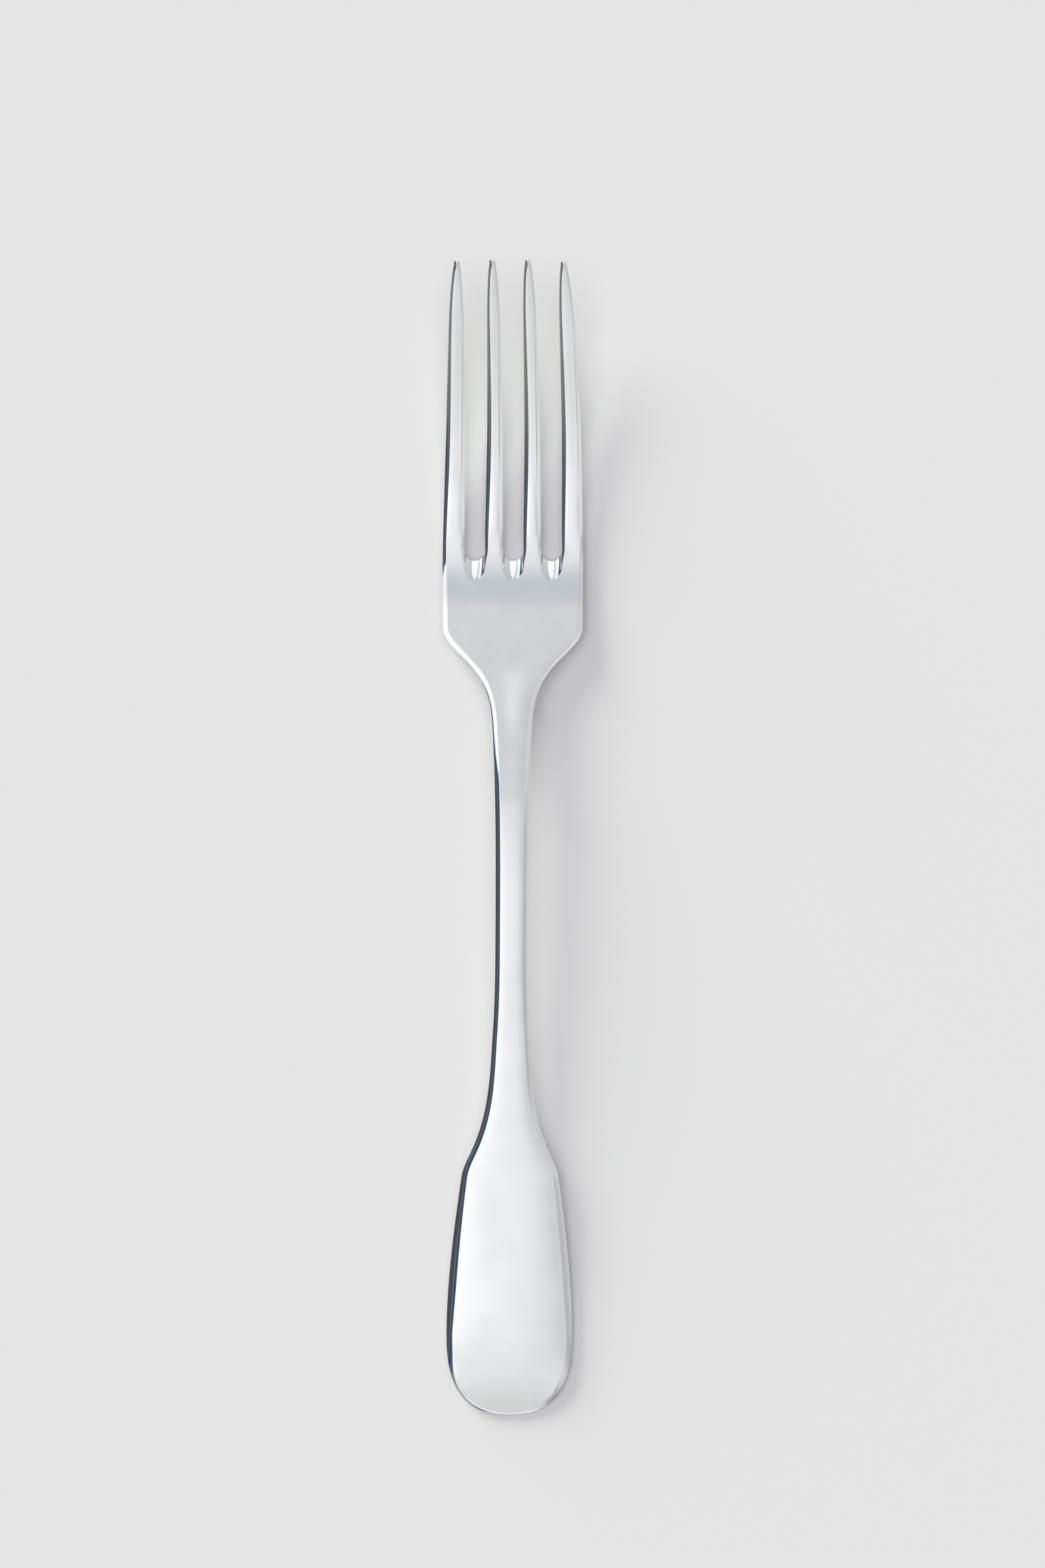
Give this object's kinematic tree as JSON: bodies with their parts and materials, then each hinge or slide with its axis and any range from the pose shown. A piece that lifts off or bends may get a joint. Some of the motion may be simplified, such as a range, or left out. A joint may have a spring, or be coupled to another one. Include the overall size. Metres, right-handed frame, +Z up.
{
  "type": "dessert fork",
  "caption": "Polished silver dessert fork with a fiddle-shaped handle, slim arched stem, square-shouldered head and tapered upswept tines.",
  "frame": {"origin": "on the table, under the middle of the fork's box", "axes": "+Y along the fork to the tine tips, +X to the right seen from above, +Z up from the table, tines up"},
  "size_m": [0.0212, 0.175, 0.0131],
  "materials": {
    "silver": "hand-polished silver plate, lightly worn"
  },
  "bodies": {
    "root": {"handle": "silver", "stem": "silver", "head": "silver", "outer_tine_left": "silver", "inner_tine_left": "silver", "inner_tine_right": "silver", "outer_tine_right": "silver"}
  },
  "joints": []
}
